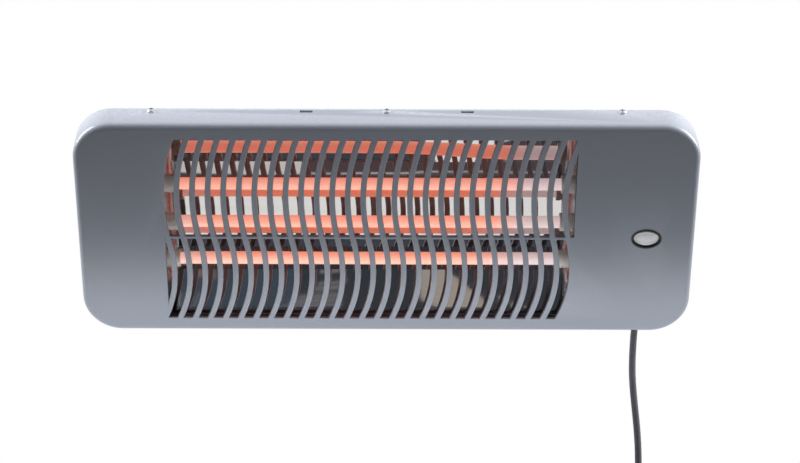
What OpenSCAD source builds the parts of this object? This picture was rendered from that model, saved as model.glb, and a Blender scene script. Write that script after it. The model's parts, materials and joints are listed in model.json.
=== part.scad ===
// Wall-mounted electric bar heater with three quartz tubes behind a pressed steel grille.
// The heater is drawn in its face frame: x to the right, y up, z out of the face towards the room,
// with the front surface of the face at z = 0. place() hangs it on the wall bracket.
// The bracket, the lead and its plug are drawn where they are: wall at y = 0, room towards -y, z up.

/* [Casing] */
// Width of the front face
face_w = 600; // [580:5:660]
// Height of the front face
face_h = 235; // [230:1:260]
// Radius of the four corners, seen from the front
corner_r = 38; // [30:1:48]
// Radius of the pressed edge between face and skirt
edge_r = 6; // [4:0.5:8]
// Depth of the skirt of the front cover
skirt_d = 33; // [28:1:40]
// Thickness of the steel sheet
sheet = 1.2; // [0.8:0.1:1.6]
// Distance from the skirt to the raised back of the rear housing
pan_margin = 20; // [16:1:24]
// Corner radius of the raised back
pan_corner_r = 24; // [20:1:30]
// Depth of the rim of the rear housing inside the skirt
pan_rim_d = 12; // [9:1:16]
// Distance of the cover screws from the back edge of the skirt
screw_inset = 5; // [4:0.5:6]
// Distance from the middle cover screw to the outer ones
screw_spread = 225; // [180:5:240]
// Distance from the middle of the casing to each tongue slot
tongue_x = 77; // [60:1:100]
// Number of vent slots in each row of the back
vent_count = 15; // [9:2:21]
// Width of a vent slot
vent_w = 4; // [3:0.5:5]
// Height of a vent slot
vent_h = 16; // [10:1:20]
// Spacing of the vent slots
vent_pitch = 24; // [16:1:26]

/* [Grille] */
// Number of full bars in each row
bar_count = 26; // [20:1:26]
// Spacing of the bars
bar_pitch = 15; // [13:0.5:15.5]
// Width of a bar
bar_w = 5.6; // [4.6:0.2:6.4]
// Middle of the grille, left of the middle of the face
grille_x = -15; // [-20:1:-5]
// Height of the mid rail on the face
rail_y = -7.8; // [-12:0.2:0]
// Width of the mid rail
rail_w = 3; // [2.6:0.2:5]
// Height of the upper slots
upper_slot_h = 108; // [96:1:108]
// Height of the lower slots
lower_slot_h = 92.6; // [86:0.2:94]
// Distance from the rail to the widest point of both bows
bow_y = 42; // [36:1:50]
// Bow radius of the upper bars
upper_bow_r = 200; // [160:5:260]
// Bow radius of the lower bars, above their widest point
lower_bow_r = 170; // [150:5:220]
// Bow radius of the lower bars, below their widest point
foot_bow_r = 125; // [120:5:200]
// Distance from the last upper bar to the straight right edge
right_lens = 10; // [8:0.5:12]
// Distance from the first lower bar to the straight left edge
left_lens = 7.5; // [6:0.5:9]
// Depth of the turned-in rim of a slot, from the face
rim_d = 3.6; // [2.5:0.1:5]
// Thickness of the turned-in rim
rim_t = 0.9; // [0.6:0.1:1.2]

/* [Heating] */
// Outer diameter of a quartz tube
tube_d = 12; // [10:0.5:13]
// Wall of a quartz tube
tube_wall = 1.2; // [1:0.1:1.6]
// Free length of a tube between its end caps
tube_free = 374; // [340:1:374]
// Spacing of the tubes
tube_pitch = 43; // [36:1:46]
// Middle of the tubes, left of the middle of the face
tube_x = -17; // [-25:1:-5]
// Height of the middle tube on the face
tube_y = -6.5; // [-12:0.5:0]
// Depth of the tube axes behind the face
tube_depth = 29; // [24:1:32]
// Distance from the tube axes to the mirror
mirror_gap = 29; // [20:1:32]
// Outer diameter of an end cap
cap_d = 18; // [16.5:0.5:20]
// Length of an end cap in front of its holder
cap_l = 12; // [11:0.5:14]
// Length of tube inside an end cap
socket_d = 8; // [6:0.5:9]
// Outer diameter of the neck of an end cap
neck_d = 11; // [9:0.5:12]
// Length of the neck of an end cap
neck_l = 7; // [5:0.5:9]
// Wire of a heating coil
wire_d = 1.4; // [1:0.1:1.8]
// Outer diameter of a heating coil
winding_d = 7.6; // [6:0.2:8]
// Turns of a heating coil
winding_turns = 22; // [12:1:24]
// Distance from the lower wall of the reflector to the bottom wall of the housing
mirror_inset = 6.5; // [6:0.5:12]
// Depth of the mouth of the reflector behind the face
mouth_depth = 6; // [5.5:0.5:12]
// Thickness of the reflector
mirror_t = 0.8; // [0.6:0.1:1]
// Gap between the reflector and the back of the rear housing
back_gap = 3; // [2:0.5:5]
// Thickness of the tube holders
holder_t = 1.2; // [1:0.1:1.6]

/* [Button] */
// Distance from the button to the right edge of the face
button_inset = 47; // [42:1:60]
// Length of the oval bezel
bezel_l = 29.4; // [28:0.2:33]
// Height of the oval bezel
bezel_h = 21.6; // [20:0.2:24]
// Width of the bezel's flat rim
bezel_ring = 1.4; // [1.2:0.1:2]
// Width by which the bezel lies over the edge of its hole
bezel_lip = 0.7; // [0.5:0.1:0.8]
// Height of the bezel over the face
bezel_proud = 0.8; // [0.5:0.1:1.5]
// Depth of the bezel's ledge below the face
ledge_d = 1.6; // [1:0.1:2.5]
// Length of the oval button cap
button_l = 24.4; // [22:0.2:25]
// Height of the oval button cap
button_h = 15.4; // [14:0.2:17]
// Gap between the cap and the bezel
cap_gap = 0.5; // [0.4:0.1:0.6]
// Depth of the edge of the cap below the face
cap_sink = 1.6; // [1:0.1:2.5]
// Radius of the dome of the button cap
cap_dome_r = 70; // [50:5:120]
// Travel of the button
press_travel = 2; // [1:0.1:2]

/* [Bracket] */
// Width of the wall bracket
bracket_w = 250; // [220:5:300]
// Height of the wall plate
bracket_h = 60; // [50:1:70]
// Thickness of the bracket and of the tilt lugs
bracket_t = 2.5; // [2:0.1:3]
// Spacing of the wall screws from left to right
wall_hole_x = 180; // [140:5:190]
// Spacing of the wall screws from top to bottom
wall_hole_z = 36; // [30:1:40]
// Width of the slots for the wall screws
wall_slot_w = 5.5; // [4.5:0.1:6.5]
// Length of the slots for the wall screws
wall_slot_l = 14; // [10:1:18]
// Distance from the wall to the tilt pivot
wall_gap = 72; // [70:1:84]
// Distance from the back of the heater to the tilt pivot
pivot_stand = 17; // [15:1:22]
// Angle that the face leans down
tilt = 32; // [0:1:45]
// Diameter of the pivot bolts
bolt_d = 6; // [5:0.5:8]
// Radius of the round ends of the ears and lugs
ear_r = 13; // [12:0.5:14]
// Height of a tilt lug's foot
lug_foot_h = 56; // [48:1:64]

/* [Lead] */
// Distance from the lead to the right edge of the face
lead_inset = 47; // [46:1:60]
// Diameter of the mains lead
cord_d = 7; // [6:0.2:7.4]
// Diameter of the strain relief at the housing
boot_d = 13; // [11:0.5:15]
// Length of the strain relief
boot_l = 28; // [24:1:40]
// Radius of the middle turn of the coil
coil_r = 40; // [39:1:42]
// Distance between neighbouring turns of the coil
turn_pitch = 7.6; // [7.5:0.1:8.5]
// Diameter of the plug body
plug_d = 37; // [34:1:40]
// Length of the plug body
plug_l = 34; // [30:1:42]

/* [Hidden] */

steel_grey = [0.45, 0.46, 0.5];
zinc = [0.78, 0.78, 0.8];
steatite = [0.86, 0.82, 0.74];
black_plastic = [0.13, 0.13, 0.14];

fine = 96;
small = 32;
bow_fn = 240;
clear = 0.3;
run_gap = 0.05;
over = 1;

// screws
screw_d = 4;
screw_head_d = 8;
screw_head_h = 2.6;
small_screw_d = 3;
small_head_d = 6;
small_head_h = 2;

// casing
inner_w = face_w - 2 * sheet;
inner_h = face_h - 2 * sheet;
inner_r = corner_r - sheet;
rim_gap = 0.3;
rim_w = inner_w - 2 * rim_gap;
rim_h = inner_h - 2 * rim_gap;
rim_r = inner_r - rim_gap;
step_w = face_w - 2 * pan_margin;
step_h = face_h - 2 * pan_margin;
step_edge_r = 6;
screw_z = -skirt_d + screw_inset;
tongue_w = 12;
tongue_h = 4.4;
tongue_gap = 0.4;
vent_y = step_h / 2 - step_edge_r - vent_h / 2 - 1;

// heating
mirror_z = -tube_depth - mirror_gap;
mouth_z = -mouth_depth;
mouth_half = step_h / 2 - sheet - mirror_inset;
mirror_half = mouth_half + tube_y;
floor_z = mirror_z - mirror_t - back_gap;
pan_depth = -floor_z + sheet;
tube_left = tube_x - tube_free / 2;
tube_right = tube_x + tube_free / 2;
plate_left = tube_left - cap_l;
plate_right = tube_right + cap_l;
neck_out = neck_l - holder_t;
tube_rows = [tube_y + tube_pitch, tube_y, tube_y - tube_pitch];
stud_d = 4;
stud_l = 12;
strip_t = 1;
strip_w = 9;
strip_tail = 8;
nut_t = 3;
nut_d = 8;
lip_w = 20;
holder_edge = 1.2;
foot_w = 12;
foot_half = 50;
boss_d = 14;
boss_x = 156;
boss_drop = 18;

// grille
top_y = rail_y + rail_w / 2 + upper_slot_h;
foot_y = rail_y - rail_w / 2 - lower_slot_h;
lower_shift = round(100 * (sagitta(upper_bow_r, bow_y) + sagitta(lower_bow_r, bow_y))) / 100;
right_edge = bar_x(bar_count - 1) + right_lens;
left_edge = bar_x(-1) + lower_shift - left_lens;

// button
button_x = face_w / 2 - button_inset;
cap_top = -cap_sink + sagitta(cap_dome_r, button_l / 2);
cap_bottom = -5;
collar_l = bezel_l - 2 * bezel_lip;
collar_h = bezel_h - 2 * bezel_lip;
shaft_l = button_l + 2 * cap_gap;
shaft_h = button_h + 2 * cap_gap;
groove_inset = 2.4;
groove_w = 0.6;
groove_d = 0.3;
bezel_depth = 6;
plunger_d = 5;
plunger_l = 16;
switch_top = -11;
switch_size = [30, 20, 20];
tab_x = 7;
tab_l = 8;
tab_t = 0.8;
spring_wire = 0.7;
spring_turns = 4;
spring_d = 9;
button_y = rail_y;

// bracket and pivot
pivot_depth = pan_depth + pivot_stand;
bolt_hole_d = bolt_d + 2 * run_gap;
joint_gap = 0.3;
washer_t = 1.2;
washer_d = 14;
head_af = 10;
head_t = 4;
lug_outer = bracket_w / 2 - bracket_t - joint_gap - washer_t;
lug_foot_w = 26;
lug_screw_y = 18;
bend_r = 3;

// lead
boot_x = face_w / 2 - lead_inset;
boot_z = -48;
boot_end_d = 9;
boot_base_y = -step_h / 2;
boot_end = to_world([boot_x, boot_base_y - boot_l, boot_z]);
boot_dir = turn_x([0, 0, -1], tilt);
// where the strain relief ends when the face leans down by 32 degrees
boot_rest = [0, -33, -123];
lead_y = -24;
// route of the lead: x from the strain relief, y, z, and its share of the strain relief's own shift
lead_route = [
    [0, -27, -139, 0.8],
    [-0.6, -25, -148, 0.7],
    [-1.2, -24, -159, 0.6],
    [-1.8, -24, -172, 0.5],
    [-1.8, -24, -188, 0.35],
    [-0.6, -24, -206, 0.2],
    [1.2, -24, -224, 0.1],
    [3, -24, -242, 0],
    [4.2, -24, -260, 0],
    [4.6, -24, -276, 0]
];
lead_shift = boot_end - [boot_x, boot_rest[1], boot_rest[2]];
lead_points = [for (p = lead_route) [boot_x + p[0], p[1], p[2]] + p[3] * lead_shift];
coil_turns = 6;
coil_out_r = coil_r + turn_pitch * coil_turns / 4;
coil_x = boot_x + 4.6 - coil_out_r;
coil_z = -345;
coil_top = coil_z + 62;
coil_layer = turn_pitch;
coil_rings = 24;
tail_l = 16;
relief_l = 30;
relief_d = 14;
pin_d = 4.8;
pin_stem_d = 3.6;
pin_stand = 0.5;
pin_l = 19;
pin_spacing = 19;

// ---------- functions ----------
function sagitta(r, h) = r - sqrt(r * r - h * h);
function bar_x(i) = grille_x + (i - (bar_count - 1) / 2) * bar_pitch;
function turn_x(v, a) = [v[0], v[1] * cos(a) - v[2] * sin(a), v[1] * sin(a) + v[2] * cos(a)];
function to_world(p) = turn_x([p[0], -p[2] - pivot_depth, p[1]], tilt) + [0, -wall_gap, 0];
function unit(v) = v / norm(v);
function tangents(p) = [
    for (i = [0 : len(p) - 1]) unit(p[min(i + 1, len(p) - 1)] - p[max(i - 1, 0)])
];
function square_to(n, t) = unit(n - (n * t) * t);
function normals(t, first) = [
    for (i = 0, n = square_to(first, t[0]); i < len(t); i = i + 1, n = i < len(t) ? square_to(n, t[i]) : n) n
];
function ring(c, n, t, r, sides) = [
    for (k = [0 : sides - 1]) c + r * (cos(360 * k / sides) * n + sin(360 * k / sides) * cross(t, n))
];
function least_gap(p, d, apart) = min([
    for (i = [0 : len(p) - 1]) for (j = [i + apart : 1 : len(p) - 1]) norm(p[i] - p[j])
]) - d;

// ---------- shared shapes ----------
module tube_along(p, d, sides, first) {
    t = tangents(p);
    n = normals(t, first);
    rings = [for (i = [0 : len(p) - 1]) ring(p[i], n[i], t[i], d / 2, sides)];
    last = (len(p) - 1) * sides;
    polyhedron(
        points = [for (r = rings) for (q = r) q],
        faces = concat(
            [for (i = [0 : len(p) - 2]) for (k = [0 : sides - 1])
                [i * sides + k, (i + 1) * sides + k, i * sides + (k + 1) % sides]],
            [for (i = [0 : len(p) - 2]) for (k = [0 : sides - 1])
                [i * sides + (k + 1) % sides, (i + 1) * sides + k, (i + 1) * sides + (k + 1) % sides]],
            [for (k = [1 : sides - 2]) [0, k, k + 1]],
            [for (k = [1 : sides - 2]) [last, last + k + 1, last + k]]
        )
    );
}

module place() {
    translate([0, -wall_gap, 0])
        rotate([tilt, 0, 0])
            translate([0, -pivot_depth, 0])
                rotate([90, 0, 0])
                    children();
}

// a flat outline, drawn in y and z, given a thickness along x from x0
module side_plate(x0, t) {
    translate([x0, 0, 0])
        rotate([90, 0, 90])
            linear_extrude(t)
                children();
}

module rounded_rect(w, h, r) {
    square([w - 2 * r, h], center = true);
    square([w, h - 2 * r], center = true);
    for (sx = [-1, 1], sy = [-1, 1])
        translate([sx * (w / 2 - r), sy * (h / 2 - r)])
            circle(r, $fn = fine);
}

module slot_shape(l, h) {
    square([l - h, h], center = true);
    for (s = [-1, 1])
        translate([s * (l - h) / 2, 0])
            circle(d = h, $fn = fine);
}

// an oval of four arcs that meet smoothly; their centres and the middle make 3-4-5 triangles
module oval(l, h) {
    k = (l - h) / 4;
    end_r = h / 2 - k;
    side_r = end_r + 5 * k;
    join_x = 3 * k + 0.6 * end_r;
    intersection() {
        translate([0, -4 * k])
            circle(side_r, $fn = fine);
        translate([0, 4 * k])
            circle(side_r, $fn = fine);
        square([2 * join_x, h], center = true);
    }
    for (s = [0, 1])
        mirror([s, 0])
            intersection() {
                translate([3 * k, 0])
                    circle(end_r, $fn = fine);
                translate([join_x, -h / 2])
                    square([l / 2 - join_x, h]);
            }
}

module edge_profile(r, e, d) {
    translate([0, -d])
        square([r, d - e]);
    translate([0, -e])
        square([r - e, e]);
    translate([r - e, -e])
        circle(e, $fn = 48);
}

// a block with round corners of radius r and its front edge rounded by e; front at z = 0, back at z = -d
module pressed_block(w, h, r, e, d) {
    x = w / 2 - r;
    y = h / 2 - r;
    translate([-x, -y, -d])
        cube([2 * x, 2 * y, d]);
    for (corner = [[x, y, 0], [-x, y, 90], [-x, -y, 180], [x, -y, 270]])
        translate([corner[0], corner[1], 0])
            rotate([0, 0, corner[2]])
                rotate_extrude(angle = 90, $fn = fine)
                    edge_profile(r, e, d);
    for (s = [0, 1]) {
        mirror([0, s, 0])
            translate([-x, y, 0])
                rotate([90, 0, 90])
                    linear_extrude(2 * x)
                        edge_profile(r, e, d);
        mirror([s, 0, 0])
            translate([x, y, 0])
                rotate([90, 0, 0])
                    linear_extrude(2 * y)
                        edge_profile(r, e, d);
    }
}

// a pan-head screw, head above z = 0, shank below
module pan_screw(d, head_d, head_h, l) {
    difference() {
        rotate_extrude($fn = small)
            intersection() {
                translate([0, -head_d * 0.75 + head_h])
                    circle(head_d * 0.75, $fn = small);
                square([head_d / 2, head_h]);
            }
        for (a = [0, 90])
            rotate([0, 0, a])
                translate([-head_d * 0.28, -head_d * 0.06, head_h * 0.45])
                    cube([head_d * 0.56, head_d * 0.12, head_h]);
    }
    translate([0, 0, -l])
        cylinder(d = d, h = l + head_h * 0.3, $fn = small);
}

module hex(af, h) {
    cylinder(d = af / cos(30), h = h, $fn = 6);
}

// a wire laid straight from point to point, round at its corners
module wire(p, d) {
    for (i = [0 : len(p) - 2]) {
        v = p[i + 1] - p[i];
        translate(p[i])
            rotate([0, acos(v[2] / norm(v)), atan2(v[1], v[0])])
                cylinder(d = d, h = norm(v), $fn = small);
    }
    for (i = [1 : len(p) - 2])
        translate(p[i])
            sphere(d = d + 0.2, $fn = small);
}

// ---------- casing ----------
module upper_slots(grow) {
    y0 = rail_y + rail_w / 2 - grow;
    for (i = [-1 : bar_count - 1])
        difference() {
            intersection() {
                translate([bar_x(i) + upper_bow_r, rail_y + bow_y])
                    circle(upper_bow_r - bar_w / 2 + grow, $fn = bow_fn);
                translate([bar_x(i), y0])
                    square([i < bar_count - 1 ? 3 * bar_pitch : right_lens + grow, upper_slot_h + 2 * grow]);
            }
            if (i < bar_count - 1)
                translate([bar_x(i + 1) + upper_bow_r, rail_y + bow_y])
                    circle(upper_bow_r + bar_w / 2 - grow, $fn = bow_fn);
        }
}

module lower_bow(i, r, w) {
    translate([bar_x(i) + lower_shift - r, rail_y - bow_y])
        circle(r + w, $fn = bow_fn);
}

module lower_slots(grow) {
    y1 = rail_y - rail_w / 2 + grow;
    bow = rail_y - bow_y;
    bands = [[lower_bow_r, bow, y1 - bow], [foot_bow_r, foot_y - grow, bow - foot_y + grow]];
    for (i = [-2 : bar_count - 2], band = bands)
        difference() {
            intersection() {
                lower_bow(i + 1, band[0], -bar_w / 2 + grow);
                translate([i < -1 ? left_edge - grow : bar_x(i) - bar_pitch, band[1]])
                    square([3 * bar_pitch, band[2]]);
            }
            if (i > -2)
                lower_bow(i, band[0], bar_w / 2 - grow);
        }
}

module slots(grow) {
    upper_slots(grow);
    lower_slots(grow);
}

module at_cover_screws() {
    for (s = [0, 1], x = [-screw_spread, 0, screw_spread])
        mirror([0, s, 0])
            translate([x, face_h / 2, screw_z])
                rotate([-90, 0, 0])
                    children();
}

module front_cover() {
    color(steel_grey)
        place()
            difference() {
                union() {
                    difference() {
                        pressed_block(face_w, face_h, corner_r, edge_r, skirt_d);
                        translate([0, 0, -sheet])
                            pressed_block(inner_w, inner_h, inner_r, edge_r - sheet, skirt_d);
                    }
                    translate([0, 0, -rim_d])
                        linear_extrude(rim_d - sheet / 2)
                            slots(rim_t);
                }
                translate([0, 0, -rim_d - over])
                    linear_extrude(rim_d + 2 * over)
                        slots(0);
                translate([button_x, button_y, -sheet - over])
                    linear_extrude(sheet + 2 * over)
                        oval(collar_l + clear, collar_h + clear);
                at_cover_screws()
                    cylinder(d = screw_d + 2 * clear, h = 4 * sheet, center = true, $fn = small);
                for (s = [0, 1], x = [-tongue_x, tongue_x])
                    mirror([0, s, 0])
                        translate([x - tongue_w / 2, inner_h / 2 - over, screw_z - tongue_h / 2])
                            cube([tongue_w, sheet + 2 * over, tongue_h]);
            }
}

module vent_row(y) {
    for (i = [0 : vent_count - 1])
        translate([(i - (vent_count - 1) / 2) * vent_pitch, y])
            rotate([0, 0, 90])
                slot_shape(vent_h, vent_w);
}

module at_bosses() {
    for (sx = [-1, 1], sy = [-1, 1])
        translate([tube_x + sx * boss_x, tube_y + sy * tube_pitch - boss_drop, floor_z])
            children();
}

module at_lug_screws() {
    for (sx = [-1, 1], sy = [-1, 1])
        translate([sx * (lug_outer - lug_foot_w / 2 - bend_r / 2), sy * lug_screw_y, floor_z - sheet])
            mirror([0, 0, 1])
                children();
}

module at_holder_feet() {
    for (sx = [-1, 1], sy = [-1, 1])
        translate([
            sx < 0 ? plate_left - holder_t - foot_w / 2 : plate_right + holder_t + foot_w / 2,
            tube_y + sy * (foot_half - foot_w / 2),
            floor_z
        ])
            children();
}

module rear_housing() {
    color(steel_grey)
        place()
            difference() {
                union() {
                    difference() {
                        union() {
                            translate([0, 0, -skirt_d])
                                linear_extrude(pan_rim_d)
                                    rounded_rect(rim_w, rim_h, rim_r);
                            translate([0, 0, -pan_depth])
                                mirror([0, 0, 1])
                                    pressed_block(step_w, step_h, pan_corner_r, step_edge_r, pan_depth - skirt_d + sheet / 2);
                        }
                        translate([0, 0, -skirt_d + sheet])
                            linear_extrude(pan_rim_d)
                                rounded_rect(rim_w - 2 * sheet, rim_h - 2 * sheet, rim_r - sheet);
                        translate([0, 0, floor_z])
                            mirror([0, 0, 1])
                                pressed_block(
                                    step_w - 2 * sheet, step_h - 2 * sheet, pan_corner_r - sheet, step_edge_r - sheet,
                                    -floor_z - skirt_d + 2 * sheet
                                );
                    }
                    at_bosses()
                        cylinder(d = boss_d, h = back_gap, $fn = small);
                    for (s = [0, 1], x = [-tongue_x, tongue_x])
                        mirror([0, s, 0])
                            translate([x - tongue_w / 2 + tongue_gap, rim_h / 2 - sheet / 2, screw_z - tongue_h / 2 + tongue_gap])
                                cube([tongue_w - 2 * tongue_gap, sheet / 2 + rim_gap + sheet, sheet]);
                }
                for (y = [-vent_y, vent_y])
                    translate([0, 0, -pan_depth - over])
                        linear_extrude(sheet + 2 * over)
                            vent_row(y);
                at_cover_screws()
                    cylinder(d = screw_d + 2 * run_gap, h = 8 * sheet, center = true, $fn = small);
                at_bosses()
                    translate([0, 0, -sheet - over])
                        cylinder(d = small_screw_d + 2 * run_gap, h = back_gap + sheet + 2 * over, $fn = small);
                at_holder_feet()
                    translate([0, 0, -sheet - over])
                        cylinder(d = small_screw_d + 2 * run_gap, h = sheet + 2 * over, $fn = small);
                at_lug_screws()
                    cylinder(d = screw_d + 2 * run_gap, h = 4 * sheet, center = true, $fn = small);
                translate([boot_x, boot_base_y, boot_z])
                    rotate([90, 0, 0])
                        cylinder(d = boot_d - 3, h = 4 * sheet, center = true, $fn = small);
                at_clamp_screws()
                    cylinder(d = small_screw_d + 2 * run_gap, h = 4 * sheet, center = true, $fn = small);
                translate([earth_x, lead_end + 2, floor_z])
                    cylinder(d = screw_d + 2 * run_gap, h = 4 * sheet, center = true, $fn = small);
            }
}

module cover_screws() {
    color(zinc)
        place()
            at_cover_screws()
                pan_screw(screw_d, screw_head_d, screw_head_h, 8);
}

// ---------- reflector and tube holders ----------
module trough(grow) {
    polygon([
        [mouth_half + grow, mouth_z],
        [tube_y + mirror_half + grow * 0.7, mirror_z - grow],
        [tube_y - mirror_half - grow * 0.7, mirror_z - grow],
        [-mouth_half - grow, mouth_z]
    ]);
}

module reflector() {
    color([0.9, 0.9, 0.92])
        place()
            difference() {
                union() {
                    side_plate(plate_left, plate_right - plate_left)
                        trough(mirror_t);
                    for (s = [0, 1])
                        mirror([0, s, 0])
                            translate([plate_left, mouth_half - mirror_t, mouth_z - mirror_t])
                                cube([plate_right - plate_left, lip_w, mirror_t]);
                }
                side_plate(plate_left - over, plate_right - plate_left + 2 * over)
                    trough(0);
                at_bosses()
                    cylinder(d = small_screw_d + 2 * run_gap, h = back_gap + 2, $fn = small);
            }
}

module reflector_screws() {
    color(zinc)
        place()
            at_bosses()
                translate([0, 0, -sheet])
                    mirror([0, 0, 1])
                        pan_screw(small_screw_d, small_head_d, small_head_h, sheet + back_gap + mirror_t);
}

module holder_outline() {
    difference() {
        union() {
            trough(mirror_t + holder_edge);
            translate([tube_y - foot_half, floor_z])
                square([2 * foot_half, 2 * back_gap]);
        }
        for (y = tube_rows)
            translate([y, -tube_depth])
                circle(d = neck_d + 2 * run_gap, $fn = small);
        translate([-face_h / 2, floor_z - face_h])
            square([face_h, face_h]);
    }
}

module tube_holder(x, outward) {
    difference() {
        union() {
            side_plate(outward > 0 ? x : x - holder_t, holder_t)
                holder_outline();
            translate([outward > 0 ? x : x - holder_t - foot_w, tube_y - foot_half, floor_z])
                cube([holder_t + foot_w, 2 * foot_half, holder_t]);
        }
        at_holder_feet()
            translate([0, 0, -over])
                cylinder(d = small_screw_d + 2 * run_gap, h = holder_t + 2 * over, $fn = small);
    }
}

module left_tube_holder() {
    color(zinc)
        place()
            tube_holder(plate_left, -1);
}

module right_tube_holder() {
    color(zinc)
        place()
            tube_holder(plate_right, 1);
}

module holder_screws() {
    color(zinc)
        place()
            at_holder_feet()
                translate([0, 0, -sheet])
                    mirror([0, 0, 1])
                        pan_screw(small_screw_d, small_head_d, small_head_h, sheet + holder_t + 1);
}

// ---------- tubes, coils and caps ----------
module quartz_tube(y) {
    color([1, 0.62, 0.45, 0.6])
        place()
            translate([tube_left - socket_d, y, -tube_depth])
                rotate([0, 90, 0])
                    difference() {
                        cylinder(d = tube_d, h = tube_free + 2 * socket_d, $fn = fine);
                        translate([0, 0, -over])
                            cylinder(d = tube_d - 2 * tube_wall, h = tube_free + 2 * socket_d + 2 * over, $fn = fine);
                    }
}

lead_in = 12;
winding_rings = 8;
winding_x = tube_left + lead_in - socket_d;
winding_l = tube_free + 2 * socket_d - 2 * lead_in;
winding_steps = winding_turns * winding_rings;
winding_path = concat(
    [[tube_left - socket_d, 0, 0], [tube_left - socket_d + wire_d, 0, 0], [winding_x - 2 * wire_d, 0, 0]],
    [
        for (i = [0 : winding_steps])
            let (
                a = 360 * i / winding_rings,
                ramp = min(1, i / winding_rings * 2, (winding_steps - i) / winding_rings * 2),
                r = ramp * (winding_d - wire_d) / 2
            )
            [winding_x + winding_l * i / winding_steps, r * cos(a), r * sin(a)]
    ],
    [
        [winding_x + winding_l + 2 * wire_d, 0, 0],
        [tube_right + socket_d - wire_d, 0, 0],
        [tube_right + socket_d, 0, 0]
    ]
);

module heating_coil(y) {
    color([1, 0.45, 0.2])
        place()
            translate([0, y, -tube_depth])
                tube_along(winding_path, wire_d, 6, [0, 0, 1]);
}

// a stepped end cap: the tube's socket at z = 0, the neck at the far end
module cap_body() {
    difference() {
        union() {
            cylinder(d = cap_d, h = cap_l, $fn = fine);
            cylinder(d = neck_d, h = cap_l + neck_l, $fn = fine);
        }
        translate([0, 0, -over])
            cylinder(d = tube_d + 2 * run_gap, h = socket_d + over, $fn = fine);
        cylinder(d = stud_d + 2 * run_gap, h = cap_l + neck_l + over, $fn = small);
        for (z = [cap_l * 0.35, cap_l * 0.7])
            translate([0, 0, z])
                difference() {
                    cylinder(d = cap_d + over, h = 1, $fn = fine);
                    cylinder(d = cap_d - 1.6, h = 1, $fn = fine);
                }
    }
}

module left_cap(y) {
    color(steatite)
        place()
            translate([tube_left, y, -tube_depth])
                rotate([0, -90, 0])
                    cap_body();
}

module right_cap(y) {
    color(steatite)
        place()
            translate([tube_right, y, -tube_depth])
                rotate([0, 90, 0])
                    cap_body();
}

// everything on the outside of a holder, one place for each tube end, z pointing away from the tube
module at_necks() {
    for (y = tube_rows) {
        translate([plate_left - neck_l, y, -tube_depth])
            rotate([0, -90, 0])
                children();
        translate([plate_right + neck_l, y, -tube_depth])
            rotate([0, 90, 0])
                children();
    }
}

module terminal_studs() {
    color(zinc)
        place()
            at_necks()
                translate([0, 0, -neck_l - cap_l + socket_d])
                    cylinder(d = stud_d, h = neck_l + cap_l - socket_d + stud_l, $fn = small);
}

module terminal_nuts() {
    color(zinc)
        place()
            at_necks()
                translate([0, 0, strip_t])
                    difference() {
                        hex(nut_d, nut_t);
                        translate([0, 0, -over])
                            cylinder(d = stud_d + 2 * run_gap, h = nut_t + 2 * over, $fn = small);
                    }
}

module bus_strip(x) {
    side_plate(x, strip_t)
        difference() {
            translate([tube_rows[2] - strip_w / 2 - strip_tail, -tube_depth - strip_w / 2])
                square([2 * tube_pitch + strip_w + strip_tail, strip_w]);
            for (y = tube_rows)
                translate([y, -tube_depth])
                    circle(d = stud_d + 2 * run_gap, $fn = small);
        }
}

module left_bus_strip() {
    color(zinc)
        place()
            bus_strip(plate_left - neck_l - strip_t);
}

module right_bus_strip() {
    color(zinc)
        place()
            bus_strip(plate_right + neck_l);
}

// ---------- button and switch ----------
module button_bezel() {
    color(zinc)
        place()
            translate([button_x, button_y, 0])
                difference() {
                    union() {
                        linear_extrude(bezel_proud)
                            oval(bezel_l, bezel_h);
                        translate([0, 0, -bezel_depth])
                            linear_extrude(bezel_depth)
                                oval(collar_l, collar_h);
                    }
                    translate([0, 0, -ledge_d])
                        linear_extrude(ledge_d + bezel_proud + over)
                            oval(bezel_l - 2 * bezel_ring, bezel_h - 2 * bezel_ring);
                    translate([0, 0, -bezel_depth - over])
                        linear_extrude(bezel_depth + bezel_proud + 2 * over)
                            oval(shaft_l, shaft_h);
                }
}

module button_cap() {
    color([0.7, 0.7, 0.72])
        place()
            translate([button_x, button_y, 0])
                difference() {
                    intersection() {
                        translate([0, 0, cap_bottom])
                            linear_extrude(cap_top - cap_bottom + over)
                                oval(button_l, button_h);
                        translate([0, 0, cap_top - cap_dome_r])
                            sphere(cap_dome_r, $fn = fine);
                    }
                    difference() {
                        translate([0, 0, cap_bottom + 1])
                            linear_extrude(cap_top - cap_bottom)
                                difference() {
                                    oval(button_l - 2 * groove_inset, button_h - 2 * groove_inset);
                                    oval(
                                        button_l - 2 * groove_inset - 2 * groove_w,
                                        button_h - 2 * groove_inset - 2 * groove_w
                                    );
                                }
                        translate([0, 0, cap_top - cap_dome_r])
                            sphere(cap_dome_r - groove_d, $fn = fine);
                    }
                }
}

module switch_plunger() {
    color([0.9, 0.9, 0.88])
        place()
            translate([button_x, button_y, cap_bottom - plunger_l])
                cylinder(d = plunger_d, h = plunger_l, $fn = small);
}

spring_top = cap_bottom;
spring_bottom = switch_top;
spring_rings = 8;
spring_rise = spring_top - spring_bottom - spring_wire;
spring_path = [
    for (i = [0 : spring_turns * spring_rings])
        let (a = 360 * i / spring_rings)
        [
            (spring_d - spring_wire) / 2 * cos(a), (spring_d - spring_wire) / 2 * sin(a),
            spring_bottom + spring_wire / 2 + spring_rise * i / (spring_turns * spring_rings)
        ]
];

module button_spring() {
    color(zinc)
        place()
            translate([button_x, button_y, 0])
                tube_along(spring_path, spring_wire, 6, [0, 0, 1]);
}

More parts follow.
